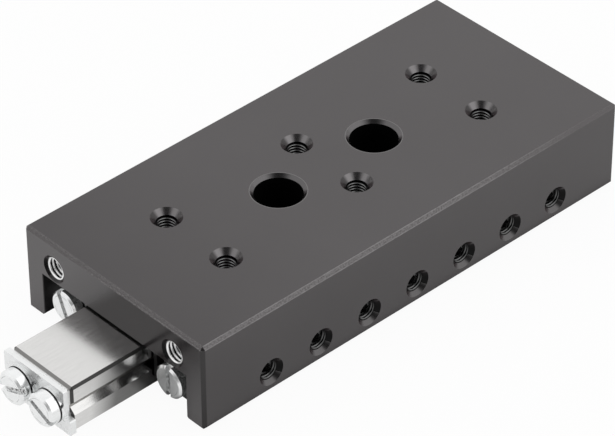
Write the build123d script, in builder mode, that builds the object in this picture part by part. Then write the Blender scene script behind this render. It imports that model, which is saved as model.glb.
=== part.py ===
from build123d import *
import os
from math import sqrt

os.makedirs("parts", exist_ok=True)

# Crossed-roller slide guide, in millimetres, +Z up.
# The origin is the middle of the base bar's underside, which is the mounting face.
# +X runs to the rear end, along the travel, and +Y to the left side.
# The carriage is drawn part of the way out towards the rear, so that the bar's front end shows.

# Whole slide
travel = 50.0
carriage_shift = 20.6

# Carriage body
carriage_length = 130.0
carriage_width = 60.0
leg_lift = 0.7
leg_thickness = 5.8
top_plate_thickness = 10.9
ceiling_gap = 0.6
outer_chamfer = 0.8
leg_inner_chamfer = 1.0
leg_end_chamfer = 0.5
mouth_chamfer = 0.15

# Carriage holes
top_hole_pitch = 40.0
top_hole_spacing = 20.0
top_hole_columns = 3
top_hole_diameter = 5.0
top_hole_countersink = 7.6
access_hole_spacing = 30.0
access_hole_diameter = 11.5
access_hole_countersink = 13.1
end_hole_spacing = 40.0
end_hole_height = 16.9
end_hole_diameter = 6.0
end_hole_countersink = 7.0
end_hole_depth = 11.0

# Base bar
bar_length = carriage_length
bar_width = 20.0
bar_height = 12.5
bar_chamfer = 0.6
bar_hole_pitch = 30.0
bar_hole_count = 3
bar_hole_diameter = 6.6
bar_counterbore_diameter = 10.8
bar_counterbore_depth = 6.6

# Crossed rollers and their grooves
roller_diameter = 4.0
roller_length = 3.8
roller_chamfer = 0.25
roller_pitch = 7.0
roller_row_margin = 5.0
groove_height = 6.5
land_gap = 1.9
relief_width = 0.8
relief_depth = 0.4

# Cages
cage_thickness = 1.0
cage_height = 8.6
cage_end_gap = 0.5
cage_corner_radius = 1.0
pocket_clearance = 0.06

# Side rails in the carriage
rail_height = 12.0
rail_chamfer = 0.5
rail_end_recess = 4.0
adjusting_gap = 0.3
rail_bolt_pitch = 30.0
rail_bolt_count = 4
rail_bolt_inset = 5.7
rail_bolt_hole_diameter = 4.6
rail_counterbore_diameter = 7.6
rail_counterbore_depth = 4.4

# End plates of the bar
end_plate_thickness = 1.5
end_plate_side_inset = 1.0
end_plate_bottom = 0.4
end_plate_top_inset = 0.8
end_plate_corner_radius = 0.5
lug_reach = 1.1
lug_top = 4.5
wing_reach = 1.2
wing_bottom = 5.3
wing_corner_radius = 1.6

# Slotted end screws with spring washers
end_screw_diameter = 4.0
end_screw_head_diameter = 8.4
end_screw_head_height = 2.7
end_screw_head_chamfer = 0.5
slot_width = 1.4
slot_depth = 1.4
plate_screw_height = 6.2
plate_screw_offset = 5.0
plate_screw_length = 10.0
rail_screw_height = 6.9
rail_screw_off_middle = 0.3
rail_screw_length = 8.0
washer_diameter = 8.6
washer_bore = 4.3
washer_thickness = 1.0
washer_split = 0.7
washer_slant = 30
plate_washer_turn = 25
rail_washer_turn = 140

# Preload set screws
set_screw_diameter = 5.0
set_screw_length = 4.0
set_screw_socket = 2.5
set_screw_socket_depth = 2.0
set_screw_pitch = 15.0
set_screw_count = 7
set_screw_height = 6.1
set_screw_countersink = 7.0
set_screw_tip_chamfer = 0.8
set_screw_edge_chamfer = 0.3

# Rail bolts
rail_bolt_diameter = 4.0
rail_bolt_length = 16.0
rail_bolt_head_diameter = 7.0
rail_bolt_head_height = 4.0
rail_bolt_socket = 3.0
rail_bolt_socket_depth = 2.0
rail_bolt_thread_reserve = 1.0

# Fits
thread_clearance = 0.03
roller_clearance = 0.02
screw_hole_reserve = 1.5

# Sizes that follow
ceiling_height = bar_height + ceiling_gap
total_height = ceiling_height + top_plate_thickness
channel_half = carriage_width / 2 - leg_thickness
land = bar_width / 2
rail_land = land + land_gap
groove_depth = (roller_diameter * sqrt(2) - land_gap) / 2
groove_square = groove_depth * sqrt(2)
cage_centre = land + land_gap / 2
cage_shift = carriage_shift / 2
cage_length = bar_length - travel / 2 - 2 * cage_end_gap
roller_count = 1 + int((cage_length - 2 * roller_row_margin) / roller_pitch)
roller_row_length = roller_pitch * (roller_count - 1)
rail_length = carriage_length - 2 * rail_end_recess
rail_bottom = ceiling_height - rail_height
bar_end = bar_length / 2
carriage_end = carriage_length / 2
rail_end = rail_length / 2
rail_bolt_offset = channel_half - rail_bolt_inset
rail_screw_offset = (rail_land + channel_half) / 2 - rail_screw_off_middle
end_plate_half = bar_width / 2 - end_plate_side_inset
end_plate_top = bar_height - end_plate_top_inset
tapped_end_hole_radius = end_screw_diameter / 2 + thread_clearance
set_screw_row = set_screw_pitch * (set_screw_count - 1)

# Names of the two sides and the two ends, with the sign of their direction along Y and X
sides = {"left": 1, "right": -1}
ends = {"front": -1, "rear": 1}

# How far the slots of the end screws are turned from level, seen from outside: minus side, plus side
plate_slot_angles = {"front": (21, -24), "rear": (64, -8)}
rail_slot_angles = {"front": (113, 92), "rear": (78, 112)}


def save(piece, name):
    """Labels a finished piece and writes it to its own file."""
    piece.part.label = name
    export_step(piece.part, f"parts/{name}.step")


def end_plane(x, outward, offset=0.0, height=0.0, turn=0.0):
    """A plane across the travel that faces outward, with its own X to the right as seen from outside."""
    facing = Plane(origin=(x, 0, 0), x_dir=(0, outward, 0), z_dir=(outward, 0, 0))
    return Plane(facing.location * Location((offset, height, 0), (0, 0, turn)))


def side_plane(x, y, z, outward):
    """A plane on the carriage's side that faces outward along Y."""
    return Plane(origin=(x, y, z), x_dir=(1, 0, 0), z_dir=(0, outward, 0))


def row(first, pitch, count):
    """The positions of count things, pitch apart."""
    return [first + pitch * step for step in range(count)]


# Carriage: one inverted channel with all its holes
with BuildPart() as carriage:
    with BuildSketch(Plane.YZ.offset(carriage_shift)) as channel_section:
        with Locations((0, (total_height + leg_lift) / 2)):
            Rectangle(carriage_width, total_height - leg_lift)
        with Locations((0, (ceiling_height + leg_lift) / 2)):
            Rectangle(2 * channel_half, ceiling_height - leg_lift, mode=Mode.SUBTRACT)
    extrude(amount=carriage_end, both=True)
    leg_inner_edges = carriage.edges().filter_by(Axis.X).filter_by(
        lambda edge: abs(abs(edge.center().Y) - channel_half) < 0.1 and edge.center().Z < leg_lift + 0.1
    )
    chamfer(leg_inner_edges, leg_inner_chamfer)
    corner_edges = carriage.edges().filter_by(Axis.Z).filter_by(
        lambda edge: abs(edge.center().Y) > carriage_width / 2 - 0.1
    )
    top_end_edges = carriage.edges().filter_by(Axis.Y).filter_by(
        lambda edge: edge.center().Z > total_height - 0.1
    )
    outer_long_edges = carriage.edges().filter_by(Axis.X).filter_by(
        lambda edge: abs(edge.center().Y) > carriage_width / 2 - 0.1
    )
    chamfer(corner_edges + top_end_edges + outer_long_edges, outer_chamfer)
    leg_end_edges = carriage.edges().filter_by(Axis.Y).filter_by(
        lambda edge: abs(abs(edge.center().X - carriage_shift) - carriage_end) < 0.1
        and edge.center().Z < leg_lift + 0.1
    )
    chamfer(leg_end_edges, leg_end_chamfer)
    mouth_edges = carriage.edges().filter_by(
        lambda edge: abs(abs(edge.center().X - carriage_shift) - carriage_end) < 0.1
        and abs(edge.center().Y) < channel_half + 0.1
        and leg_lift + leg_inner_chamfer < edge.center().Z < ceiling_height + 0.1
    )
    chamfer(mouth_edges, mouth_chamfer)
    with Locations((carriage_shift, 0, total_height)):
        with GridLocations(top_hole_pitch, top_hole_spacing, top_hole_columns, 2):
            CounterSinkHole(
                top_hole_diameter / 2, top_hole_countersink / 2, top_plate_thickness, counter_sink_angle=90
            )
        with GridLocations(access_hole_spacing, 0, 2, 1):
            CounterSinkHole(
                access_hole_diameter / 2,
                access_hole_countersink / 2,
                top_plate_thickness,
                counter_sink_angle=90,
            )
    for outward in ends.values():
        for offset in (-end_hole_spacing / 2, end_hole_spacing / 2):
            with Locations(end_plane(carriage_shift + outward * carriage_end, outward, offset, end_hole_height)):
                CounterSinkHole(
                    end_hole_diameter / 2, end_hole_countersink / 2, end_hole_depth, counter_sink_angle=90
                )
    for x in row(carriage_shift - set_screw_row / 2, set_screw_pitch, set_screw_count):
        with Locations(side_plane(x, -carriage_width / 2, set_screw_height, -1)):
            CounterSinkHole(
                set_screw_diameter / 2 + thread_clearance,
                set_screw_countersink / 2,
                leg_thickness,
                counter_sink_angle=90,
            )
    with Locations(Location((carriage_shift, 0, ceiling_height), (180, 0, 0))):
        with GridLocations(rail_bolt_pitch, 2 * rail_bolt_offset, rail_bolt_count, 2):
            Hole(
                rail_bolt_diameter / 2 + thread_clearance,
                rail_bolt_length + rail_counterbore_depth - rail_height + rail_bolt_thread_reserve,
            )
save(carriage, "carriage")

# Base bar: ground steel, with a V groove along each side and counterbored mounting holes
with BuildPart() as base_bar:
    with BuildSketch(Plane.YZ) as bar_section:
        with Locations((0, bar_height / 2)):
            Rectangle(bar_width, bar_height)
        chamfer(bar_section.vertices(), bar_chamfer)
        with Locations((land, groove_height), (-land, groove_height)):
            Rectangle(groove_square, groove_square, rotation=45, mode=Mode.SUBTRACT)
        with Locations((land - groove_depth, groove_height), (groove_depth - land, groove_height)):
            Rectangle(2 * relief_depth, relief_width, mode=Mode.SUBTRACT)
    extrude(amount=bar_end, both=True)
    bar_rim = base_bar.edges().filter_by(
        lambda edge: abs(edge.center().X) > bar_end - 0.1
        and (
            abs(edge.center().Y) > land - bar_chamfer
            or not 0.1 < edge.center().Z < bar_height - 0.1
        )
    )
    chamfer(bar_rim, bar_chamfer)
    with Locations((0, 0, bar_height)):
        with GridLocations(bar_hole_pitch, 0, bar_hole_count, 1):
            CounterBoreHole(
                bar_hole_diameter / 2, bar_counterbore_diameter / 2, bar_counterbore_depth, bar_height
            )
    for outward in ends.values():
        for offset in (-plate_screw_offset, plate_screw_offset):
            with Locations(end_plane(outward * bar_end, outward, offset, plate_screw_height)):
                Hole(
                    tapped_end_hole_radius,
                    plate_screw_length - washer_thickness - end_plate_thickness + screw_hole_reserve,
                )
save(base_bar, "base_bar")

# Side rails: the left one stands against the channel's wall, the right one is pushed by the set screws
for side_name, side in sides.items():
    wall_gap = 0.0 if side > 0 else adjusting_gap
    rail_width = channel_half - wall_gap - rail_land
    with BuildPart() as rail:
        with BuildSketch(Plane.YZ.offset(carriage_shift)) as rail_section:
            with Locations((side * (rail_land + rail_width / 2), rail_bottom + rail_height / 2)):
                Rectangle(rail_width, rail_height)
            chamfer(rail_section.vertices(), rail_chamfer)
            with Locations((side * rail_land, groove_height)):
                Rectangle(groove_square, groove_square, rotation=45, mode=Mode.SUBTRACT)
            with Locations((side * (rail_land + groove_depth), groove_height)):
                Rectangle(2 * relief_depth, relief_width, mode=Mode.SUBTRACT)
        extrude(amount=rail_end, both=True)
        with Locations(Location((carriage_shift, side * rail_bolt_offset, rail_bottom), (180, 0, 0))):
            with GridLocations(rail_bolt_pitch, 0, rail_bolt_count, 1):
                CounterBoreHole(
                    rail_bolt_hole_diameter / 2,
                    rail_counterbore_diameter / 2,
                    rail_counterbore_depth,
                    rail_height,
                )
        for outward in ends.values():
            offset = side * outward * rail_screw_offset
            rail_face = carriage_shift + outward * rail_end
            with Locations(end_plane(rail_face, outward, offset, rail_screw_height)):
                Hole(tapped_end_hole_radius, rail_screw_length - washer_thickness + screw_hole_reserve)
    save(rail, f"{side_name}_rail")

# Cages and crossed rollers: each roller leans the other way from its neighbours
for side_name, side in sides.items():
    roller_places = [
        Location((x, side * cage_centre, groove_height), (45 if index % 2 else -45, 0, 0))
        for index, x in enumerate(row(cage_shift - roller_row_length / 2, roller_pitch, roller_count))
    ]
    with BuildPart() as cage:
        with BuildSketch(side_plane(cage_shift, side * cage_centre, groove_height, 1)):
            RectangleRounded(cage_length, cage_height, cage_corner_radius)
        extrude(amount=cage_thickness / 2, both=True)
        with Locations(*roller_places):
            Cylinder(
                roller_diameter / 2 + pocket_clearance,
                roller_length + 2 * pocket_clearance,
                mode=Mode.SUBTRACT,
            )
    save(cage, f"{side_name}_cage")

    with BuildPart() as single_roller:
        Cylinder(roller_diameter / 2 - roller_clearance, roller_length)
        chamfer(single_roller.edges().filter_by(GeomType.CIRCLE), roller_chamfer)
    with BuildPart() as rollers:
        with Locations(*roller_places):
            add(single_roller.part)
    save(rollers, f"{side_name}_rollers")


def slotted_screw(length):
    """A slotted pan-head screw with its seat at Z0 and its slot along X."""
    with BuildPart() as screw:
        with BuildSketch():
            Circle(end_screw_head_diameter / 2)
        extrude(amount=end_screw_head_height)
        chamfer(screw.edges().group_by(Axis.Z)[-1], end_screw_head_chamfer)
        with Locations((0, 0, -length / 2)):
            Cylinder(end_screw_diameter / 2, length)
        with Locations((0, 0, end_screw_head_height - slot_depth / 2)):
            Box(2 * end_screw_head_diameter, slot_width, slot_depth, mode=Mode.SUBTRACT)
    return screw.part


def spring_washer():
    """A split spring washer that stands on Z0."""
    with BuildPart() as washer:
        with BuildSketch():
            Circle(washer_diameter / 2)
            Circle(washer_bore / 2, mode=Mode.SUBTRACT)
        extrude(amount=washer_thickness)
        with Locations(Location((washer_diameter / 2, 0, washer_thickness / 2), (washer_slant, 0, 0))):
            Box(washer_diameter, washer_split, 3 * washer_thickness, mode=Mode.SUBTRACT)
    return washer.part


def end_plate():
    """An end plate of the bar, standing on Z0, with its lug on the plus X side and its wing on the other."""
    lug_edge = land + lug_reach
    wing_edge = -land - wing_reach
    with BuildPart() as plate:
        with BuildSketch() as outline:
            with BuildLine():
                Polyline(
                    (-end_plate_half, end_plate_bottom),
                    (lug_edge, end_plate_bottom),
                    (lug_edge, lug_top),
                    (end_plate_half, lug_top),
                    (end_plate_half, end_plate_top),
                    (wing_edge, end_plate_top),
                    (wing_edge, wing_bottom),
                    (-end_plate_half, wing_bottom),
                    close=True,
                )
            make_face()
            wing_corner = outline.vertices().group_by(Axis.X)[0].sort_by(Axis.Y)[0]
            fillet(wing_corner, wing_corner_radius)
            lug_corners = outline.vertices().group_by(Axis.X)[-1]
            top_corners = outline.vertices().group_by(Axis.Y)[-1]
            fillet(lug_corners + top_corners, end_plate_corner_radius)
            with Locations((-plate_screw_offset, plate_screw_height), (plate_screw_offset, plate_screw_height)):
                Circle(washer_bore / 2, mode=Mode.SUBTRACT)
        extrude(amount=end_plate_thickness)
    return plate.part


# End plates, with their two screws and washers at each end of the bar
plate_screw = slotted_screw(plate_screw_length)
rail_screw = slotted_screw(rail_screw_length)
washer = spring_washer()
bar_plate = end_plate()
for end_name, outward in ends.items():
    with BuildPart() as bar_end_plate:
        with Locations(end_plane(outward * bar_end, outward)):
            add(bar_plate)
    save(bar_end_plate, f"{end_name}_end_plate")

    washer_seat = bar_end + end_plate_thickness
    screw_seat = washer_seat + washer_thickness
    screw_offsets = (-plate_screw_offset, plate_screw_offset)
    with BuildPart() as plate_washers:
        for offset in screw_offsets:
            seat = end_plane(outward * washer_seat, outward, offset, plate_screw_height, plate_washer_turn)
            with Locations(seat):
                add(washer)
    save(plate_washers, f"{end_name}_plate_washers")
    with BuildPart() as plate_screws:
        for offset, turn in zip(screw_offsets, plate_slot_angles[end_name]):
            with Locations(end_plane(outward * screw_seat, outward, offset, plate_screw_height, turn)):
                add(plate_screw)
    save(plate_screws, f"{end_name}_plate_screws")

# Screws and washers in the end faces of the two side rails
for end_name, outward in ends.items():
    rail_face = carriage_shift + outward * rail_end
    screw_seat = rail_face + outward * washer_thickness
    screw_offsets = (-rail_screw_offset, rail_screw_offset)
    with BuildPart() as rail_washers:
        for offset in screw_offsets:
            with Locations(end_plane(rail_face, outward, offset, rail_screw_height, rail_washer_turn)):
                add(washer)
    save(rail_washers, f"{end_name}_rail_washers")
    with BuildPart() as rail_screws:
        for offset, turn in zip(screw_offsets, rail_slot_angles[end_name]):
            with Locations(end_plane(screw_seat, outward, offset, rail_screw_height, turn)):
                add(rail_screw)
    save(rail_screws, f"{end_name}_rail_screws")

# Preload set screws: their tips bear on the right rail's back
with BuildPart() as set_screw:
    Cylinder(set_screw_diameter / 2, set_screw_length, align=(Align.CENTER, Align.CENTER, Align.MIN))
    chamfer(set_screw.edges().group_by(Axis.Z)[0], set_screw_tip_chamfer)
    chamfer(set_screw.edges().group_by(Axis.Z)[-1], set_screw_edge_chamfer)
    with BuildSketch(Plane.XY.offset(set_screw_length)):
        RegularPolygon(set_screw_socket / 2, 6, major_radius=False)
    extrude(amount=-set_screw_socket_depth, mode=Mode.SUBTRACT)
with BuildPart() as preload_screws:
    for x in row(carriage_shift - set_screw_row / 2, set_screw_pitch, set_screw_count):
        with Locations(side_plane(x, adjusting_gap - channel_half, set_screw_height, -1)):
            add(set_screw.part)
save(preload_screws, "preload_screws")

# Rail bolts: from below, through each side rail, into the carriage's top plate
with BuildPart() as rail_bolt:
    Cylinder(
        rail_bolt_head_diameter / 2,
        rail_bolt_head_height,
        align=(Align.CENTER, Align.CENTER, Align.MIN),
    )
    with BuildSketch(Plane.XY.offset(rail_bolt_head_height)):
        RegularPolygon(rail_bolt_socket / 2, 6, major_radius=False)
    extrude(amount=-rail_bolt_socket_depth, mode=Mode.SUBTRACT)
    Cylinder(
        rail_bolt_diameter / 2, rail_bolt_length, align=(Align.CENTER, Align.CENTER, Align.MAX)
    )
bolt_seat = rail_bottom + rail_counterbore_depth
for side_name, side in sides.items():
    with BuildPart() as rail_bolts:
        with Locations(Location((carriage_shift, side * rail_bolt_offset, bolt_seat), (180, 0, 0))):
            with GridLocations(rail_bolt_pitch, 0, rail_bolt_count, 1):
                add(rail_bolt.part)
    save(rail_bolts, f"{side_name}_rail_bolts")
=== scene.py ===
import math
from collections import namedtuple
from types import SimpleNamespace

import bmesh
import bpy
from mathutils import Matrix, Quaternion, Vector


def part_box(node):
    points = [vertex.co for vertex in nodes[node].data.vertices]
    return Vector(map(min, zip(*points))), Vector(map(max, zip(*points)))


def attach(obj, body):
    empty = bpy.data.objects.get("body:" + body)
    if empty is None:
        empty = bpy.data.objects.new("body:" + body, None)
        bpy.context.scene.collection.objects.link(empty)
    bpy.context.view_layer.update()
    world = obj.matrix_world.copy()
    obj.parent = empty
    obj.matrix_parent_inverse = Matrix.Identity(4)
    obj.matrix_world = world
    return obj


# Crossed roller slide guide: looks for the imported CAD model. All lengths are in metres.
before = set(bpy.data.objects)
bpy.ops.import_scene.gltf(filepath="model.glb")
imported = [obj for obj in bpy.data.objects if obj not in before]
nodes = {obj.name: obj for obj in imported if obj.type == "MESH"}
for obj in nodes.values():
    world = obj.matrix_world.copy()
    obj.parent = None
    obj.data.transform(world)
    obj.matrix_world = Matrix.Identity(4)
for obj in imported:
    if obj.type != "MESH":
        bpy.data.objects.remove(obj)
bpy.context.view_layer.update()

MM = 0.001

# Camera, found by fitting the carriage's edges to the photograph
PHOTO_WIDTH = 615
PHOTO_HEIGHT = 436
CAMERA_PLACE = Vector((-449.14, -498.95, 544.62)) * MM
CAMERA_AZIMUTH = math.radians(-42.847)
CAMERA_ELEVATION = math.radians(38.035)
CAMERA_ROLL = math.radians(0.338)
CAMERA_NEAR = 0.01
CAMERA_FAR = 20
FOCAL_PIXELS = 3764.1
OPTICAL_CENTRE = (304.7, 216.03)

# Threads of the carriage's free tapped holes. Over the lead, a share of the pitch, a ridge
# grows from nothing.
Thread = namedtuple("Thread", "major minor pitch length lead")
TOP_THREAD = Thread(major=5.0 * MM, minor=4.13 * MM, pitch=0.8 * MM, length=9.5 * MM, lead=0.8)
END_THREAD = Thread(major=6.0 * MM, minor=4.92 * MM, pitch=1.0 * MM, length=9.0 * MM, lead=0.0)
SIDE_THREAD = Thread(major=4.96 * MM, minor=4.13 * MM, pitch=0.8 * MM, length=1.0 * MM, lead=0.3)
THREAD_ROOT_SHARE = 1 / 8
THREAD_FLANK_SHARE = 5 / 16
THREAD_CREST_SHARE = 1 / 4
THREAD_WALL_GAP = 0.01 * MM
THREAD_ROOT_GAP = 0.03 * MM
THREAD_SEGMENTS = 40
THREAD_ROWS_PER_PITCH = 8
THREAD_WELD = 1e-7
THREAD_SHARP_ANGLE = math.radians(30)

# Where the tapped holes lie
TOP_COUNTERSINK_DEPTH = 1.3 * MM
TOP_HOLE_PITCH = 40 * MM
TOP_HOLE_SPACING = 20 * MM
END_COUNTERSINK_DEPTH = 0.5 * MM
END_HOLE_SPACING = 40 * MM
END_HOLE_HEIGHT = 16.9 * MM
SIDE_COUNTERSINK_DEPTH = 0.98 * MM
SIDE_HOLE_PITCH = 15 * MM
SIDE_HOLE_HEIGHT = 6.1 * MM
SIDE_HOLES = 7
SIDES = ((1, "left"), (-1, "right"))

# Rounded rims of the turned and stamped pieces, by the ending of their names
RIM_ROUNDING = {
    "plate_screws": 0.35 * MM,
    "rail_screws": 0.35 * MM,
    "washers": 0.12 * MM,
    "end_plate": 0.15 * MM,
}
RIM_SEGMENTS = 3
RIM_ANGLE = math.radians(35)

# Shares of a normal along an axis: a slope of 45 degrees lies between the first two
SLOPE_LOW = 0.6
SLOPE_HIGH = 0.8
STRAIGHT = 0.9
HALFWAY = 0.5
UPRIGHT = 0.1

# The carriage's shape, as far as its coating follows it
BODY_MIDDLE = 20.6 * MM
BODY_HALF_LENGTH = 65 * MM
BODY_HALF_WIDTH = 30 * MM
BODY_TOP = 24 * MM
BODY_CHAMFER = 0.8 * MM
CHANNEL_HALF = 24.2 * MM
CHANNEL_CEILING = 13.1 * MM
CHANNEL_SIDE_MARGIN = 0.2 * MM
CHANNEL_TOP_MARGIN = 0.05 * MM
CONE_REACH = 60 * MM
TOP_CONE_WIDTH = 20 * MM
TOP_CONE_BOTTOM = 22 * MM
TOP_CONE_TOP = 23.99 * MM
SIDE_CONE_WIDTH = 28.9 * MM
SIDE_CONE_TOP = 12 * MM
END_CONE_REACH = 64.3 * MM
END_CONE_BOTTOM = 12.9 * MM
END_CONE_TOP = 21.5 * MM
END_CONE_INNER = 15 * MM
END_CONE_OUTER = 25 * MM
ACCESS_HOLE_REACH = 15 * MM
ACCESS_RIM_RADIUS = 6.55 * MM
ACCESS_WALL_REACH = 25 * MM
ACCESS_WALL_WIDTH = 5.9 * MM
ACCESS_WALL_BOTTOM = 12.9 * MM
ACCESS_WALL_TOP = 23.3 * MM

# The carriage's coating
BODY_DARK = (0.021, 0.0185, 0.0192)
BODY_LIGHT = (0.025, 0.0225, 0.0232)
BODY_SMOOTH = 0.19
BODY_ROUGH = 0.25
BODY_IOR = 1.8
BODY_SHINE = 0.5
BODY_GLOSS_TINT = (1.0, 0.95, 0.96, 1.0)
# Painted shade: darker colours for the vertical corner chamfers, the inside of the channel and the
# walls of the access holes
BODY_CORNER_SHADE = (0.012, 0.012, 0.012)
BODY_INSIDE_SHADE = (0.02, 0.02, 0.02)
HOLE_WALL_SHADE = (0.003, 0.003, 0.003)
COATING_PATCHES = {"scale": 60, "detail": 4}
COATING_GRAIN = {"scale": 900, "detail": 3}
COATING_BUMP = 0.25
COATING_BUMP_DEPTH = 0.01 * MM

# Its countersinks; those in the top carry painted shade where they face one way and its opposite
TOP_CONE = (0.19, 0.182, 0.185)
ACCESS_CONE = (0.13, 0.125, 0.127)
SIDE_CONE = (0.11, 0.106, 0.107)
END_CONE = (0.025, 0.025, 0.025)
CONE_ROUGHNESS = 0.22
CONE_SHADE = (0.06, 0.058, 0.058)
CONE_SHADE_DIRECTION = (0.743, -0.669)
CONE_SHADE_START = 0.47
CONE_SHADE_FULL = 0.6

# Painted shade: where the coating shines less, because the photograph is darker there
FRONT_DIM = 0.7
FRONT_DIM_SOFT = 0.27
FRONT_DIM_HEIGHT = 22 * MM
FRONT_DIM_EDGE = -2 * MM
FRONT_DIM_KNEE = 3 * MM
FRONT_DIM_END = 14 * MM
LEG_LIT = 0.8
LEG_LIT_LOW = 5 * MM
LEG_LIT_HIGH = 20 * MM
LEG_LIT_OUTER = -22 * MM
LEG_LIT_INNER = -14 * MM
SIDE_DIM = 0.16
CORNER_DIM = 0.5
INSIDE_DIM = 0.75
TOP_DIM = 0.2
TOP_DIM_FRONT = -44 * MM
TOP_DIM_REAR = 0 * MM

# Painted highlights along its upper edges
EDGE_HIGHLIGHT = (0.2, 0.195, 0.196)
LINE_HIGHLIGHT = (0.23, 0.225, 0.226)
HIGHLIGHT_WIDTH = 0.1 * MM
HIGHLIGHT_FADED = 0.1
HIGHLIGHT_FADE_START = 34 * MM
HIGHLIGHT_FADE_END = 72 * MM
END_LINE_SHARE = 0.08
UPPER_EDGE_SHARE = 0.3
LOWER_EDGE_SHARE = 0.7
LOWER_EDGE_FULL = 2 * MM
LOWER_EDGE_END = 12 * MM
ACCESS_RIM_SHARE = 0.5
LINE_PATCHES = {"scale": 700, "low": 0.3, "high": 0.7, "start": 0.35, "end": 0.65}
LONG_RIM_SPECKS = {"scale": 2500, "low": 0.1, "high": 0.5, "start": 0.4, "end": 0.6}
END_RIM_SPECKS = {"scale": 4500, "low": 0.0, "high": 0.3, "start": 0.42, "end": 0.62}
EDGE_GRAINS = {"scale": 4000, "low": 0.0, "high": 0.9, "start": 0.5, "end": 0.6, "detail": 1}

# Metals and their working marks
MARKS_DETAIL = 4
MARKS_ROUGHNESS = 0.6
MARKS_BUMP = 0.3
MARKS_BUMP_DEPTH = 0.004 * MM
GROUND_MARKS = {"stretch": (0.12, 1, 1), "scale": 2200}

# The bar, with its dark chamfered rims, in painted shade where they face sideways
BAR_DARK = (0.72, 0.715, 0.705)
BAR_LIGHT = (0.78, 0.775, 0.765)
BAR_RIM_COLOUR = (0.27, 0.265, 0.26)
BAR_SIDE_RIM_SHADE = (0.08, 0.079, 0.078)
BAR_RIM_ROUGHNESS = 0.5
BAR_SIDE_ROUGHNESS = 0.14
BAR_RIM = 0.65 * MM
BAR_HEIGHT = 12.5 * MM
BAR_HALF_LENGTH = 65 * MM
BAR_HOLE_REACH = 6 * MM

# Zinc, and the slotted screws at both ends
ZINC_DARK = (0.92, 0.93, 0.93)
ZINC_LIGHT = (0.99, 1.0, 1.0)
ZINC_BARE = 0.8
ScrewRow = namedtuple("ScrewRow", "middle head_face offset height")
PLATE_SCREWS = ScrewRow(middle=0.0, head_face=70.2 * MM, offset=5.0 * MM, height=6.2 * MM)
RAIL_SCREWS = ScrewRow(middle=20.6 * MM, head_face=64.7 * MM, offset=17.75 * MM, height=6.9 * MM)
HEAD_HEIGHT = 2.7 * MM
SLOT_REACH = 3.7 * MM
SLOT_COLOUR = (0.9, 0.9, 0.9)
SLOT_SHADE = (0.12, 0.12, 0.12)
SLOT_SHADE_DEPTH = 1.0 * MM
SLOT_SPOTS = {"scale": 1500, "low": 0.0, "high": 0.85, "start": 0.5, "end": 0.6}
RING_RADIUS = 3.05 * MM
RING_WIDTH = 0.12 * MM
RING_COLOUR = (0.35, 0.36, 0.36)
RING_SPECKS = {"scale": 900, "low": 0.0, "high": 0.8, "start": 0.42, "end": 0.55}
SEAM_SHADOW = (0.03, 0.03, 0.03)
SEAM_WIDTH = 0.14 * MM

# The floor, white to the camera, with painted shade in its mirror images around and beside the
# slide
FLOOR_SIZE = 3.0
FLOOR_DROP = 0.1 * MM
FLOOR_COLOUR = 0.92
FLOOR_ROUGHNESS = 0.9
FLOOR_WHITE_SHARE = 0.95
FLOOR_GLOSS_SHARE = 0.75
FLOOR_GLOSS = 0.95
FLOOR_DIP_NEAR = 0.3
FLOOR_DIP_FAR = 0.12
FLOOR_DIP_FRONT = -50 * MM
FLOOR_DIP_REAR = 90 * MM
FLOOR_DIP_NONE = -58 * MM
FLOOR_DIP_FULL = -44 * MM
FLOOR_DIP_SIDE = -32 * MM
FLOOR_DIP_INNER = 12 * MM
FLOOR_DIP_OUTER = 42 * MM
BODY_SHADE_INNER = -2 * MM
BODY_SHADE_OUTER_END = 1.5 * MM
BODY_SHADE_OUTER_SIDE = 3 * MM
BAR_SHADE = 0.8
BAR_SHADE_FRONT = -56.5 * MM
BAR_SHADE_REAR = -49 * MM
BAR_SHADE_SIDE = -14 * MM
BAR_SHADE_INNER = -26 * MM
BAR_SHADE_OUTER = -31 * MM

# The world, which is dark around one direction, and the lamp
WORLD_DARK = 0.05
WORLD_BRIGHT = 0.95
DARK_SIDE = (-0.55, -0.6, 0.58)
DARK_SIDE_START = 0.72
DARK_SIDE_FULL = 0.93
SOFTBOX_DIRECTION = (0.54, -0.62, 0.58)
SOFTBOX_DISTANCE = 1.2
SOFTBOX_SIZE = 1.6
SOFTBOX_POWER = 2.3


# Node helpers

def new_material(name):
    """A node material, its node tree and its shader."""
    made = bpy.data.materials.new(name)
    made.use_nodes = True
    return made, *tree_of(made)


def tree_of(made):
    """A material's node tree and its shader."""
    return made.node_tree, made.node_tree.nodes["Principled BSDF"]


def object_noise(tree, scale, detail=3.0, stretch=(1, 1, 1), roughness=0.5):
    """Noise that is fixed to the piece, stretched along its axes."""
    place = tree.nodes.new("ShaderNodeTexCoord")
    mapping = tree.nodes.new("ShaderNodeMapping")
    mapping.inputs["Scale"].default_value = stretch
    noise = tree.nodes.new("ShaderNodeTexNoise")
    noise.inputs["Scale"].default_value = scale
    noise.inputs["Detail"].default_value = detail
    noise.inputs["Roughness"].default_value = roughness
    tree.links.new(place.outputs["Object"], mapping.inputs["Vector"])
    tree.links.new(mapping.outputs["Vector"], noise.inputs["Vector"])
    return noise.outputs["Fac"]


def ramp(tree, value, low, high, start=0.3, end=0.7):
    """Turns the range of a value from start to end into colours from low to high."""
    node = tree.nodes.new("ShaderNodeValToRGB")
    for element, position, colour in zip(node.color_ramp.elements, (start, end), (low, high)):
        element.position = position
        element.color = (*colour, 1)
    tree.links.new(value, node.inputs["Fac"])
    return node.outputs["Color"]


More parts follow.
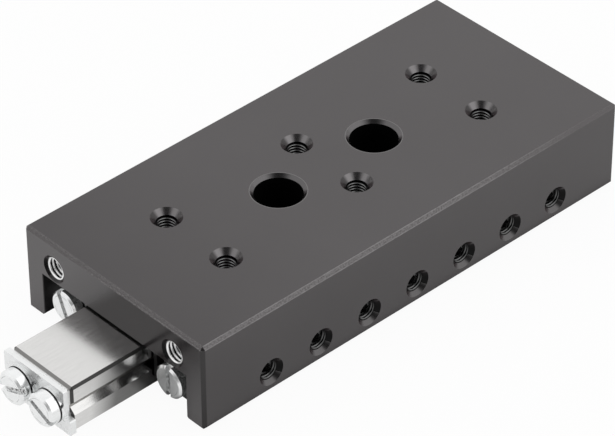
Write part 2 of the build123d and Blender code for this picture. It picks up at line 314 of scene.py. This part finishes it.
def scaled(tree, value, low, high, start=0.3, end=0.7):
    """Turns the range of a value from start to end into numbers from low to high."""
    node = tree.nodes.new("ShaderNodeMapRange")
    node.inputs["From Min"].default_value = start
    node.inputs["From Max"].default_value = end
    node.inputs["To Min"].default_value = low
    node.inputs["To Max"].default_value = high
    tree.links.new(value, node.inputs["Value"])
    return node.outputs["Result"]


def speckled(tree, scale, low, high, start, end, detail=2):
    """A mask of fine noise, with strengths from low to high."""
    return scaled(tree, object_noise(tree, scale, detail), low, high, start, end)


def bump(tree, shader, value, strength, distance):
    """Lets a value raise the surface a little."""
    node = tree.nodes.new("ShaderNodeBump")
    node.inputs["Strength"].default_value = strength
    node.inputs["Distance"].default_value = distance
    tree.links.new(value, node.inputs["Height"])
    tree.links.new(node.outputs["Normal"], shader.inputs["Normal"])


def maths(tree, operation, first, second=None):
    """One arithmetic node: its inputs are numbers or other nodes' outputs."""
    node = tree.nodes.new("ShaderNodeMath")
    node.operation = operation
    for slot, value in zip(node.inputs, (first, second)):
        if value is None:
            continue
        if isinstance(value, (int, float)):
            slot.default_value = value
        else:
            tree.links.new(value, slot)
    return node.outputs["Value"]


def joined(tree, operation, values):
    """Several values, joined one after the other by one operation."""
    result = values[0]
    for value in values[1:]:
        result = maths(tree, operation, result, value)
    return result


def all_of(tree, *masks):
    """One where every mask is one, weaker where one of them is weaker."""
    return joined(tree, "MULTIPLY", masks)


def any_of(tree, *masks):
    """The largest of several masks or values."""
    return joined(tree, "MAXIMUM", masks)


def rest_of(tree, mask):
    """What a mask leaves of one."""
    return maths(tree, "SUBTRACT", 1.0, mask)


def above(tree, value, limit):
    """One where a value is above a limit, else nought."""
    return maths(tree, "GREATER_THAN", value, limit)


def below(tree, value, limit):
    """One where a value is below a limit, else nought."""
    return maths(tree, "LESS_THAN", value, limit)


def between(tree, value, low, high):
    """One where a value lies between two numbers, else nought."""
    return all_of(tree, above(tree, value, low), below(tree, value, high))


def sloping(tree, share):
    """One where a surface slopes by about 45 degrees to an axis, else nought."""
    return between(tree, share, SLOPE_LOW, SLOPE_HIGH)


def distance(tree, value, middle):
    """How far a value lies from a number, on either side."""
    return maths(tree, "ABSOLUTE", maths(tree, "SUBTRACT", value, middle))


def radius(tree, first, second):
    """How far a point with two coordinates lies from the axis between them."""
    squares = [maths(tree, "MULTIPLY", value, value) for value in (first, second)]
    return maths(tree, "SQRT", maths(tree, "ADD", *squares))


def place_axes(tree, source="Object"):
    """The three numbers of a piece's own coordinates, or of its own normals."""
    place = tree.nodes.new("ShaderNodeTexCoord")
    split = tree.nodes.new("ShaderNodeSeparateXYZ")
    tree.links.new(place.outputs[source], split.inputs["Vector"])
    return split.outputs["X"], split.outputs["Y"], split.outputs["Z"]


def retint(tree, shader, mask, colour):
    """Replaces a shader's colour where a mask is one."""
    mix = tree.nodes.new("ShaderNodeMix")
    mix.data_type = "RGBA"
    under = shader.inputs["Base Color"].links[0].from_socket
    tree.links.new(mask, mix.inputs["Factor"])
    tree.links.new(under, mix.inputs["A"])
    mix.inputs["B"].default_value = (*colour, 1)
    tree.links.new(mix.outputs["Result"], shader.inputs["Base Color"])


def reroughen(tree, shader, mask, roughness):
    """Replaces a shader's roughness where a mask is one."""
    mix = tree.nodes.new("ShaderNodeMix")
    under = shader.inputs["Roughness"].links[0].from_socket
    tree.links.new(mask, mix.inputs["Factor"])
    tree.links.new(under, mix.inputs["A"])
    mix.inputs["B"].default_value = roughness
    tree.links.new(mix.outputs["Result"], shader.inputs["Roughness"])


def grey(value):
    """A neutral grey."""
    return (value, value, value)


# The carriage's coating

def body_measures(tree):
    """Where a point of the carriage lies, and which way it faces."""
    along, across, height = place_axes(tree)
    facing = place_axes(tree, "Normal")
    ahead, sideways, upwards = (maths(tree, "ABSOLUTE", axis) for axis in facing)
    reach = distance(tree, along, BODY_MIDDLE)
    width = maths(tree, "ABSOLUTE", across)
    from_access = maths(tree, "SUBTRACT", reach, ACCESS_HOLE_REACH)
    return SimpleNamespace(
        along=along, across=across, height=height, reach=reach, width=width,
        facing=facing, ahead=ahead, sideways=sideways, upwards=upwards,
        past_end=maths(tree, "SUBTRACT", reach, BODY_HALF_LENGTH - BODY_CHAMFER),
        past_side=maths(tree, "SUBTRACT", width, BODY_HALF_WIDTH - BODY_CHAMFER),
        past_top=maths(tree, "SUBTRACT", height, BODY_TOP - BODY_CHAMFER),
        access_radius=radius(tree, from_access, across),
    )


def body_cones(tree, shader, at):
    """Shiny countersinks. Returns the mask of those in the top."""
    top_cones = all_of(
        tree, sloping(tree, at.upwards), below(tree, at.width, TOP_CONE_WIDTH),
        between(tree, at.height, TOP_CONE_BOTTOM, TOP_CONE_TOP),
        below(tree, at.reach, CONE_REACH),
    )
    side_cones = all_of(
        tree, sloping(tree, at.sideways), above(tree, at.width, SIDE_CONE_WIDTH),
        below(tree, at.height, SIDE_CONE_TOP), below(tree, at.reach, CONE_REACH),
    )
    end_cones = all_of(
        tree, sloping(tree, at.ahead), above(tree, at.reach, END_CONE_REACH),
        between(tree, at.height, END_CONE_BOTTOM, END_CONE_TOP),
        between(tree, at.width, END_CONE_INNER, END_CONE_OUTER),
    )
    shares = [
        maths(tree, "MULTIPLY", axis, share)
        for axis, share in zip(at.facing, CONE_SHADE_DIRECTION)
    ]
    turned = maths(tree, "ABSOLUTE", maths(tree, "ADD", *shares))
    # Painted shade on the sides of the top countersinks that face one way and its opposite
    shaded = scaled(tree, turned, 0.0, 1.0, CONE_SHADE_START, CONE_SHADE_FULL)
    retint(tree, shader, top_cones, TOP_CONE)
    retint(tree, shader, all_of(tree, shaded, top_cones), CONE_SHADE)
    retint(tree, shader, side_cones, SIDE_CONE)
    retint(tree, shader, end_cones, END_CONE)
    cones = any_of(tree, top_cones, side_cones, end_cones)
    reroughen(tree, shader, cones, CONE_ROUGHNESS)
    tree.links.new(cones, shader.inputs["Metallic"])
    return top_cones


def body_dim(tree, at, corner):
    """Painted shade: how much less the outer faces shine than the coating could."""
    leaning = maths(tree, "ADD", at.across, maths(tree, "SUBTRACT", at.height, FRONT_DIM_HEIGHT))
    dark_part = scaled(
        tree, leaning, FRONT_DIM - FRONT_DIM_SOFT, 0.0, FRONT_DIM_EDGE, FRONT_DIM_KNEE
    )
    soft_part = scaled(tree, leaning, FRONT_DIM_SOFT, 0.0, FRONT_DIM_KNEE, FRONT_DIM_END)
    lit_leg = all_of(
        tree, scaled(tree, at.height, LEG_LIT, 0.0, LEG_LIT_LOW, LEG_LIT_HIGH),
        scaled(tree, at.across, 1.0, 0.0, LEG_LIT_OUTER, LEG_LIT_INNER),
    )
    front_dim = all_of(
        tree, above(tree, at.ahead, STRAIGHT), maths(tree, "ADD", dark_part, soft_part),
        rest_of(tree, lit_leg),
    )
    side_dim = all_of(tree, above(tree, at.sideways, STRAIGHT), SIDE_DIM)
    top_dim = all_of(
        tree, above(tree, at.upwards, STRAIGHT),
        scaled(tree, at.along, TOP_DIM, 0.0, TOP_DIM_FRONT, TOP_DIM_REAR),
    )
    corner_dim = all_of(tree, corner, CORNER_DIM)
    return joined(tree, "ADD", (front_dim, side_dim, top_dim, corner_dim))


def edge_highlights(tree, shader, at):
    """Painted highlights: light lines, specks and grains along the upper edges."""
    side_line, top_line, end_line = (
        all_of(
            tree, between(tree, first, -HIGHLIGHT_WIDTH, HIGHLIGHT_WIDTH),
            above(tree, second, BODY_CHAMFER - HIGHLIGHT_WIDTH),
        )
        for first, second in (
            (at.past_side, at.past_top), (at.past_top, at.past_side), (at.past_end, at.past_top)
        )
    )
    fading = scaled(tree, at.along, 1.0, HIGHLIGHT_FADED, HIGHLIGHT_FADE_START, HIGHLIGHT_FADE_END)
    long_lines = all_of(tree, any_of(tree, side_line, top_line), fading)
    # Painted highlights: light lines along the upper edges, fading towards the rear
    highlighted = any_of(tree, long_lines, all_of(tree, end_line, END_LINE_SHARE))
    retint(tree, shader, all_of(tree, highlighted, speckled(tree, **LINE_PATCHES)), LINE_HIGHLIGHT)
    long_rim = all_of(
        tree, sloping(tree, at.sideways), sloping(tree, at.upwards),
        above(tree, at.past_top, 0.0), above(tree, at.past_side, 0.0),
    )
    long_specks = all_of(tree, long_rim, speckled(tree, **LONG_RIM_SPECKS), fading)
    retint(tree, shader, long_specks, EDGE_HIGHLIGHT)
    end_rim = all_of(tree, sloping(tree, at.ahead), sloping(tree, at.upwards))
    retint(tree, shader, all_of(tree, end_rim, speckled(tree, **END_RIM_SPECKS)), EDGE_HIGHLIGHT)
    grains = speckled(tree, **EDGE_GRAINS)
    upper_edge = all_of(
        tree, between(tree, at.past_end, -2 * HIGHLIGHT_WIDTH, 3 * HIGHLIGHT_WIDTH),
        above(tree, at.past_top, BODY_CHAMFER / 2), UPPER_EDGE_SHARE,
    )
    lower_edge = all_of(
        tree, between(tree, at.past_top, -2 * HIGHLIGHT_WIDTH, 2 * HIGHLIGHT_WIDTH),
        above(tree, at.past_end, BODY_CHAMFER / 2),
        scaled(tree, at.across, LOWER_EDGE_SHARE, 0.0, LOWER_EDGE_FULL, LOWER_EDGE_END),
    )
    for edge in (upper_edge, lower_edge):
        retint(tree, shader, all_of(tree, edge, grains), EDGE_HIGHLIGHT)


def access_holes(tree, shader, at, top_cones):
    """Darker countersinks and painted highlights on the rims of the two access holes."""
    cones = all_of(tree, top_cones, below(tree, at.access_radius, ACCESS_RIM_RADIUS))
    retint(tree, shader, cones, ACCESS_CONE)
    # Painted highlight: a light ring around each access hole's rim
    rim_end = ACCESS_RIM_RADIUS + 2 * HIGHLIGHT_WIDTH
    rim = all_of(
        tree, between(tree, at.access_radius, ACCESS_RIM_RADIUS, rim_end),
        above(tree, at.past_top, BODY_CHAMFER - HIGHLIGHT_WIDTH), ACCESS_RIM_SHARE,
    )
    retint(tree, shader, rim, EDGE_HIGHLIGHT)


def body_coating():
    """Satin black with an even fine grain, with painted shade on its corner chamfers, on the walls
    of its access holes and inside its channel.
    """
    made, tree, shader = new_material("body_black")
    patches = object_noise(tree, **COATING_PATCHES)
    grain = object_noise(tree, **COATING_GRAIN)
    tree.links.new(ramp(tree, patches, BODY_DARK, BODY_LIGHT), shader.inputs["Base Color"])
    tree.links.new(scaled(tree, grain, BODY_SMOOTH, BODY_ROUGH), shader.inputs["Roughness"])
    bump(tree, shader, grain, COATING_BUMP, COATING_BUMP_DEPTH)
    shader.inputs["IOR"].default_value = BODY_IOR
    shader.inputs["Specular Tint"].default_value = BODY_GLOSS_TINT

    at = body_measures(tree)
    top_cones = body_cones(tree, shader, at)
    # Painted shade: the vertical corner chamfers are coloured darker
    corner = all_of(tree, sloping(tree, at.ahead), sloping(tree, at.sideways))
    # Painted shade: the walls of the access holes are coloured nearly black and lose their shine
    deep = all_of(
        tree, below(tree, at.upwards, UPRIGHT), below(tree, at.width, ACCESS_WALL_WIDTH),
        between(tree, at.height, ACCESS_WALL_BOTTOM, ACCESS_WALL_TOP),
        below(tree, at.reach, ACCESS_WALL_REACH),
    )
    # Painted shade: the inner faces of the channel are coloured darker and shine less
    inside = all_of(
        tree, below(tree, at.width, CHANNEL_HALF + CHANNEL_SIDE_MARGIN),
        below(tree, at.height, CHANNEL_CEILING + CHANNEL_TOP_MARGIN),
        below(tree, at.ahead, HALFWAY),
    )
    for mask, colour in ((corner, BODY_CORNER_SHADE), (deep, HOLE_WALL_SHADE), (inside, BODY_INSIDE_SHADE)):
        retint(tree, shader, mask, colour)
    unlit = any_of(tree, deep, all_of(tree, inside, INSIDE_DIM))
    lit = all_of(tree, rest_of(tree, body_dim(tree, at, corner)), rest_of(tree, unlit))
    tree.links.new(all_of(tree, lit, BODY_SHINE), shader.inputs["Specular IOR Level"])
    edge_highlights(tree, shader, at)
    access_holes(tree, shader, at, top_cones)
    return made


# Metals

def metal(name, low, high, smooth, rough, stretch=(1, 1, 1), scale=700, bare=1.0):
    """Bare or plated metal, with working marks that run along its least stretched axis."""
    made, tree, shader = new_material(name)
    shader.inputs["Metallic"].default_value = bare
    marks = object_noise(tree, scale, MARKS_DETAIL, stretch, MARKS_ROUGHNESS)
    tree.links.new(ramp(tree, marks, low, high), shader.inputs["Base Color"])
    tree.links.new(scaled(tree, marks, smooth, rough), shader.inputs["Roughness"])
    bump(tree, shader, marks, MARKS_BUMP, MARKS_BUMP_DEPTH)
    return made


def bar_steel():
    """Ground steel whose chamfered rims were left dark, with painted shade on the rims that face
    sideways.
    """
    made = metal("ground_steel", BAR_DARK, BAR_LIGHT, smooth=0.17, rough=0.24, **GROUND_MARKS)
    tree, shader = tree_of(made)
    slopes = [maths(tree, "ABSOLUTE", axis) for axis in place_axes(tree, "Normal")]
    sideways = above(tree, slopes[1], HALFWAY)
    along, aside, height = place_axes(tree)
    beyond = above(tree, maths(tree, "ABSOLUTE", along), BAR_HALF_LENGTH - BAR_RIM)
    rim = any_of(
        tree, above(tree, height, BAR_HEIGHT - BAR_RIM), below(tree, height, BAR_RIM), beyond
    )
    over_holes = below(tree, maths(tree, "ABSOLUTE", aside), BAR_HOLE_REACH)
    in_hole = all_of(tree, over_holes, rest_of(tree, beyond))
    chamfer = all_of(
        tree, below(tree, any_of(tree, *slopes), STRAIGHT), rim, rest_of(tree, in_hole)
    )
    retint(tree, shader, chamfer, BAR_RIM_COLOUR)
    # Painted shade: the chamfers that face sideways are coloured darker still
    retint(tree, shader, all_of(tree, chamfer, sideways), BAR_SIDE_RIM_SHADE)
    reroughen(tree, shader, sideways, BAR_SIDE_ROUGHNESS)
    reroughen(tree, shader, chamfer, BAR_RIM_ROUGHNESS)
    return made


def thread_finish(name, root, crest, metallic, roughness, start, end):
    """A thread with painted shade at its roots, that shines on its flanks and crests."""
    made, tree, shader = new_material(name)
    shader.inputs["Metallic"].default_value = metallic
    shader.inputs["Roughness"].default_value = roughness
    rise = tree.nodes.new("ShaderNodeAttribute")
    rise.attribute_name = "rise"
    # Painted shade: the colour runs from black at the roots to light at the crests
    colour = ramp(tree, rise.outputs["Fac"], root, crest, start, end)
    tree.links.new(colour, shader.inputs["Base Color"])
    return made


def slotted_head(name, row):
    """Bright zinc for the slotted screws of both ends, with painted shade in spots inside their
    slots.
    """
    made = metal(
        name, ZINC_DARK, ZINC_LIGHT, smooth=0.12, rough=0.22, scale=500, bare=ZINC_BARE
    )
    tree, shader = tree_of(made)
    along, aside, height = place_axes(tree)
    depth = maths(tree, "SUBTRACT", row.head_face, distance(tree, along, row.middle))
    out = maths(tree, "SUBTRACT", maths(tree, "ABSOLUTE", aside), row.offset)
    from_axis = radius(tree, out, maths(tree, "SUBTRACT", height, row.height))
    slot = all_of(
        tree, between(tree, depth, SLOT_SHADE_DEPTH, HEAD_HEIGHT),
        below(tree, from_axis, SLOT_REACH),
    )
    ring = all_of(
        tree, between(tree, from_axis, RING_RADIUS, RING_RADIUS + RING_WIDTH),
        below(tree, depth, SLOT_SHADE_DEPTH), speckled(tree, **RING_SPECKS),
    )
    # Painted shadow: a dark band in the seam between the head and its washer
    seam = between(tree, depth, HEAD_HEIGHT - SEAM_WIDTH, HEAD_HEIGHT + SEAM_WIDTH)
    retint(tree, shader, slot, SLOT_COLOUR)
    # Painted shade: dark spots inside the slots
    retint(tree, shader, all_of(tree, slot, speckled(tree, **SLOT_SPOTS)), SLOT_SHADE)
    retint(tree, shader, ring, RING_COLOUR)
    retint(tree, shader, seam, SEAM_SHADOW)
    return made


def washer_zinc(name, row):
    """Bright zinc for the spring washers of both ends, with a painted shadow in the seam under the
    screw's head.
    """
    made = metal(name, ZINC_DARK, ZINC_LIGHT, smooth=0.18, rough=0.3, bare=ZINC_BARE)
    tree, shader = tree_of(made)
    reach = distance(tree, place_axes(tree)[0], row.middle)
    head_back = row.head_face - HEAD_HEIGHT
    # Painted shadow: a dark band in the seam under the screw's head
    seam = between(tree, reach, head_back - 2 * SEAM_WIDTH, head_back + SEAM_WIDTH)
    retint(tree, shader, seam, SEAM_SHADOW)
    return made


# The finish of every piece

zinc = metal("zinc", ZINC_DARK, ZINC_LIGHT, smooth=0.25, rough=0.35, scale=500, bare=0.6)
screw_black = metal("screw_black", grey(0.14), grey(0.2), smooth=0.22, rough=0.32, scale=1500)
thread_black = thread_finish(
    "thread_black", root=grey(0.001), crest=grey(0.24), metallic=1.0, roughness=0.25,
    start=0.5, end=0.92,
)
# Painted shade: a darker copy of the thread finish, for the threads of the side holes
thread_shaded = thread_finish(
    "thread_shaded", root=grey(0.01), crest=grey(0.15), metallic=1.0, roughness=0.3,
    start=0.2, end=0.7,
)
thread_bright = thread_finish(
    "thread_bright", root=grey(0.01), crest=grey(1.0), metallic=0.9, roughness=0.28,
    start=0.18, end=0.5,
)
finish_of_ending = {
    "carriage": body_coating(),
    "base_bar": bar_steel(),
    "end_plate": zinc,
    "_rail": metal("rail_steel", grey(0.6), grey(0.68), smooth=0.2, rough=0.3, **GROUND_MARKS),
    "_cage": metal("cage_metal", grey(0.05), grey(0.08), smooth=0.35, rough=0.45),
    "_rollers": metal("roller_metal", grey(0.75), grey(0.82), smooth=0.08, rough=0.14),
    "plate_screws": slotted_head("plate_screw_zinc", PLATE_SCREWS),
    "rail_screws": slotted_head("rail_screw_zinc", RAIL_SCREWS),
    "plate_washers": washer_zinc("plate_washer_zinc", PLATE_SCREWS),
    "rail_washers": washer_zinc("rail_washer_zinc", RAIL_SCREWS),
    "preload_screws": screw_black,
    "rail_bolts": screw_black,
}


def by_ending(name, table):
    """The entry of a table whose key ends a node's name, if there is one."""
    return next((entry for ending, entry in table.items() if name.endswith(ending)), None)


for name, piece in nodes.items():
    finish = by_ending(name, finish_of_ending)
    if not piece.data.materials:
        piece.data.materials.append(finish)
    for index in range(len(piece.data.materials)):
        piece.data.materials[index] = finish
    width = by_ending(name, RIM_ROUNDING)
    if width:
        rounding = piece.modifiers.new("rounding", "BEVEL")
        rounding.width = width
        rounding.segments = RIM_SEGMENTS
        rounding.limit_method = "ANGLE"
        rounding.angle_limit = RIM_ANGLE
        rounding.use_clamp_overlap = True


# The threads of the tapped holes

def thread_rise(phase):
    """How high an internal thread stands at a share of its pitch: root, flank, crest, flank."""
    phase %= 1.0
    flank_start = THREAD_ROOT_SHARE
    crest_start = flank_start + THREAD_FLANK_SHARE
    if phase < flank_start:
        return 0.0
    if phase < crest_start:
        return (phase - flank_start) / THREAD_FLANK_SHARE
    if phase < crest_start + THREAD_CREST_SHARE:
        return 1.0
    return (1.0 - phase) / THREAD_FLANK_SHARE


def thread_column(mesh, thread, turn, rise_layer):
    """The points of a thread at one share of a turn, from the wall over the ridges to the wall."""
    turns = math.ceil(thread.length / thread.pitch) + 1
    wall = thread.major / 2 - THREAD_WALL_GAP
    root = thread.major - 2 * THREAD_ROOT_GAP
    lead = thread.lead * thread.pitch
    angle = 2 * math.pi * turn
    direction = Vector((math.cos(angle), math.sin(angle), 0))
    column = [mesh.verts.new(direction * wall)]
    for row in range((turns + 1) * THREAD_ROWS_PER_PITCH + 1):
        depth = (row / THREAD_ROWS_PER_PITCH - 1 + turn) * thread.pitch
        depth = min(max(depth, 0.0), thread.length)
        rise = thread_rise(depth / thread.pitch - turn)
        if depth < lead:
            rise *= depth / lead
        point = mesh.verts.new(
            direction * (root + (thread.minor - root) * rise) / 2 + Vector((0, 0, depth))
        )
        point[rise_layer] = rise
        column.append(point)
    column.append(mesh.verts.new(direction * wall + Vector((0, 0, thread.length))))
    return column


def thread_liner(name, mouth, inward, thread, finish):
    """The ridges of a tapped hole: one closed helical ring that lines it from its mouth inwards."""
    mesh = bmesh.new()
    rise_layer = mesh.verts.layers.float.new("rise")
    columns = [
        thread_column(mesh, thread, step / THREAD_SEGMENTS, rise_layer)
        for step in range(THREAD_SEGMENTS)
    ]
    last = len(columns[0]) - 1
    for step, column in enumerate(columns):
        beside = columns[(step + 1) % THREAD_SEGMENTS]
        if step == THREAD_SEGMENTS - 1:
            # The ridges climb by one pitch a turn, so the first column is met one pitch further
            beside = [
                beside[row if row in (0, last) else min(row + THREAD_ROWS_PER_PITCH, last - 1)]
                for row in range(last + 1)
            ]
        for row in range(last):
            corners = (column[row], column[row + 1], beside[row + 1], beside[row])
            mesh.faces.new(dict.fromkeys(corners))
        mesh.faces.new((column[last], column[0], beside[0], beside[last]))
    bmesh.ops.remove_doubles(mesh, verts=mesh.verts, dist=THREAD_WELD)
    bmesh.ops.recalc_face_normals(mesh, faces=mesh.faces)
    for face in mesh.faces:
        face.smooth = True
    turned = Vector(inward).to_track_quat("Z", "Y").to_matrix().to_4x4()
    bmesh.ops.transform(mesh, matrix=Matrix.Translation(mouth) @ turned, verts=mesh.verts)
    data = bpy.data.meshes.new(name)
    mesh.to_mesh(data)
    mesh.free()
    data.set_sharp_from_angle(angle=THREAD_SHARP_ANGLE)
    data.materials.append(finish)
    piece = bpy.data.objects.new(name, data)
    bpy.context.scene.collection.objects.link(piece)
    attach(piece, "carriage")


carriage_low, carriage_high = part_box("carriage")
carriage_middle = (carriage_low.x + carriage_high.x) / 2
for column in (-1, 0, 1):
    for side, side_name in SIDES:
        mouth = Vector((
            carriage_middle + column * TOP_HOLE_PITCH,
            side * TOP_HOLE_SPACING / 2,
            carriage_high.z - TOP_COUNTERSINK_DEPTH,
        ))
        name = f"top_thread_{side_name}_{column + 2}"
        thread_liner(name, mouth, (0, 0, -1), TOP_THREAD, thread_black)
for end_name, face, inward in (("front", carriage_low.x, 1), ("rear", carriage_high.x, -1)):
    for side, side_name in SIDES:
        mouth = Vector((
            face + inward * END_COUNTERSINK_DEPTH, side * END_HOLE_SPACING / 2, END_HOLE_HEIGHT
        ))
        name = f"{end_name}_thread_{side_name}"
        thread_liner(name, mouth, (inward, 0, 0), END_THREAD, thread_bright)
for place in range(SIDE_HOLES):
    mouth = Vector((
        carriage_middle + (place - SIDE_HOLES // 2) * SIDE_HOLE_PITCH,
        carriage_low.y + SIDE_COUNTERSINK_DEPTH,
        SIDE_HOLE_HEIGHT,
    ))
    thread_liner(f"side_thread_{place + 1}", mouth, (0, 1, 0), SIDE_THREAD, thread_shaded)


# Floor, world, lamp and camera

def mirrored_floor(tree):
    """How bright the floor is in mirror images of it: painted shade makes it darker around and
    beside the slide.
    """
    along, aside = place_axes(tree)[:2]
    past_end = maths(tree, "SUBTRACT", distance(tree, along, BODY_MIDDLE), BODY_HALF_LENGTH)
    past_side = maths(tree, "SUBTRACT", maths(tree, "ABSOLUTE", aside), BODY_HALF_WIDTH)
    outside_body = any_of(
        tree, scaled(tree, past_end, 0.0, 1.0, BODY_SHADE_INNER, BODY_SHADE_OUTER_END),
        scaled(tree, past_side, 0.0, 1.0, BODY_SHADE_INNER, BODY_SHADE_OUTER_SIDE),
    )
    # Painted shade: a dip in the mirrored floor beside the slide, and a shade beside the bar
    off_dip = distance(tree, aside, FLOOR_DIP_SIDE)
    dip = all_of(
        tree, scaled(tree, off_dip, 1.0, 0.0, FLOOR_DIP_INNER, FLOOR_DIP_OUTER),
        scaled(tree, along, FLOOR_DIP_NEAR, FLOOR_DIP_FAR, FLOOR_DIP_FRONT, FLOOR_DIP_REAR),
        scaled(tree, along, 0.0, 1.0, FLOOR_DIP_NONE, FLOOR_DIP_FULL),
    )
    from_side = maths(tree, "SUBTRACT", aside, BAR_SHADE_SIDE)
    slanting = maths(tree, "ADD", along, from_side)
    bar_shade = all_of(
        tree, below(tree, aside, 0.0),
        scaled(tree, aside, 0.0, 1.0, BAR_SHADE_OUTER, BAR_SHADE_INNER),
        scaled(tree, slanting, 0.0, BAR_SHADE, BAR_SHADE_FRONT, BAR_SHADE_REAR),
    )
    gloss = maths(tree, "SUBTRACT", FLOOR_GLOSS, dip)
    return all_of(tree, outside_body, gloss, rest_of(tree, bar_shade))


def floor_finish():
    """A pale floor that the camera sees nearly white, and that keeps the slide's shadow."""
    made, tree, shader = new_material("floor_paint")
    shader.inputs["Base Color"].default_value = (*grey(FLOOR_COLOUR), 1)
    shader.inputs["Roughness"].default_value = FLOOR_ROUGHNESS
    shader.inputs["Specular IOR Level"].default_value = 0.0
    path = tree.nodes.new("ShaderNodeLightPath")
    to_camera, to_gloss = path.outputs["Is Camera Ray"], path.outputs["Is Glossy Ray"]
    white = tree.nodes.new("ShaderNodeEmission")
    shown = all_of(tree, to_gloss, mirrored_floor(tree))
    tree.links.new(maths(tree, "ADD", shown, to_camera), white.inputs["Strength"])
    white_share = maths(
        tree, "ADD", all_of(tree, to_camera, FLOOR_WHITE_SHARE),
        all_of(tree, to_gloss, FLOOR_GLOSS_SHARE),
    )
    mix = tree.nodes.new("ShaderNodeMixShader")
    tree.links.new(white_share, mix.inputs["Fac"])
    tree.links.new(shader.outputs["BSDF"], mix.inputs[1])
    tree.links.new(white.outputs["Emission"], mix.inputs[2])
    tree.links.new(mix.outputs["Shader"], tree.nodes["Material Output"].inputs["Surface"])
    return made


def studio_world():
    """A pale world that is dark around one direction and white to the camera."""
    made = bpy.data.worlds.new("studio")
    made.use_nodes = True
    tree = made.node_tree
    tree.nodes.clear()
    to_camera = tree.nodes.new("ShaderNodeLightPath").outputs["Is Camera Ray"]
    sky = place_axes(tree, "Generated")
    shares = [maths(tree, "MULTIPLY", axis, share) for axis, share in zip(sky, DARK_SIDE)]
    towards = joined(tree, "ADD", shares)
    studio = scaled(tree, towards, WORLD_BRIGHT, WORLD_DARK, DARK_SIDE_START, DARK_SIDE_FULL)
    lit = all_of(tree, studio, rest_of(tree, to_camera))
    background = tree.nodes.new("ShaderNodeBackground")
    background.inputs["Color"].default_value = (1, 1, 1, 1)
    output = tree.nodes.new("ShaderNodeOutputWorld")
    tree.links.new(maths(tree, "ADD", lit, to_camera), background.inputs["Strength"])
    tree.links.new(background.outputs["Background"], output.inputs["Surface"])
    return made


floor_mesh = bpy.data.meshes.new("floor")
half = FLOOR_SIZE / 2
corners = [(-half, -half), (half, -half), (half, half), (-half, half)]
floor_mesh.from_pydata([(x, y, -FLOOR_DROP) for x, y in corners], [], [(0, 1, 2, 3)])
floor_mesh.materials.append(floor_finish())
floor = bpy.data.objects.new("floor", floor_mesh)
bpy.context.scene.collection.objects.link(floor)

bpy.context.scene.world = studio_world()

# One large square lamp looks at the slide from its right
lamp = bpy.data.lights.new("right_softbox", "AREA")
lamp.shape = "SQUARE"
lamp.size = SOFTBOX_SIZE
lamp.energy = SOFTBOX_POWER
softbox = bpy.data.objects.new("right_softbox", lamp)
softbox.location = Vector(SOFTBOX_DIRECTION).normalized() * SOFTBOX_DISTANCE
softbox.rotation_mode = "QUATERNION"
softbox.rotation_quaternion = Vector(SOFTBOX_DIRECTION).to_track_quat("Z", "Y")
bpy.context.scene.collection.objects.link(softbox)

camera_data = bpy.data.cameras.new("camera")
camera = bpy.data.objects.new("camera", camera_data)
bpy.context.scene.collection.objects.link(camera)
bpy.context.scene.camera = camera
towards_camera = Vector((
    math.sin(CAMERA_AZIMUTH) * math.cos(CAMERA_ELEVATION),
    -math.cos(CAMERA_AZIMUTH) * math.cos(CAMERA_ELEVATION),
    math.sin(CAMERA_ELEVATION),
))
camera.location = CAMERA_PLACE
camera.rotation_mode = "QUATERNION"
level = (-towards_camera).to_track_quat("-Z", "Y")
camera.rotation_quaternion = level @ Quaternion((0, 0, 1), -CAMERA_ROLL)
camera_data.sensor_fit = "HORIZONTAL"
camera_data.lens = FOCAL_PIXELS / PHOTO_WIDTH * camera_data.sensor_width
camera_data.shift_x = (PHOTO_WIDTH / 2 - OPTICAL_CENTRE[0]) / PHOTO_WIDTH
camera_data.shift_y = (OPTICAL_CENTRE[1] - PHOTO_HEIGHT / 2) / PHOTO_WIDTH
camera_data.clip_start = CAMERA_NEAR
camera_data.clip_end = CAMERA_FAR

bpy.context.scene.view_settings.view_transform = "Standard"
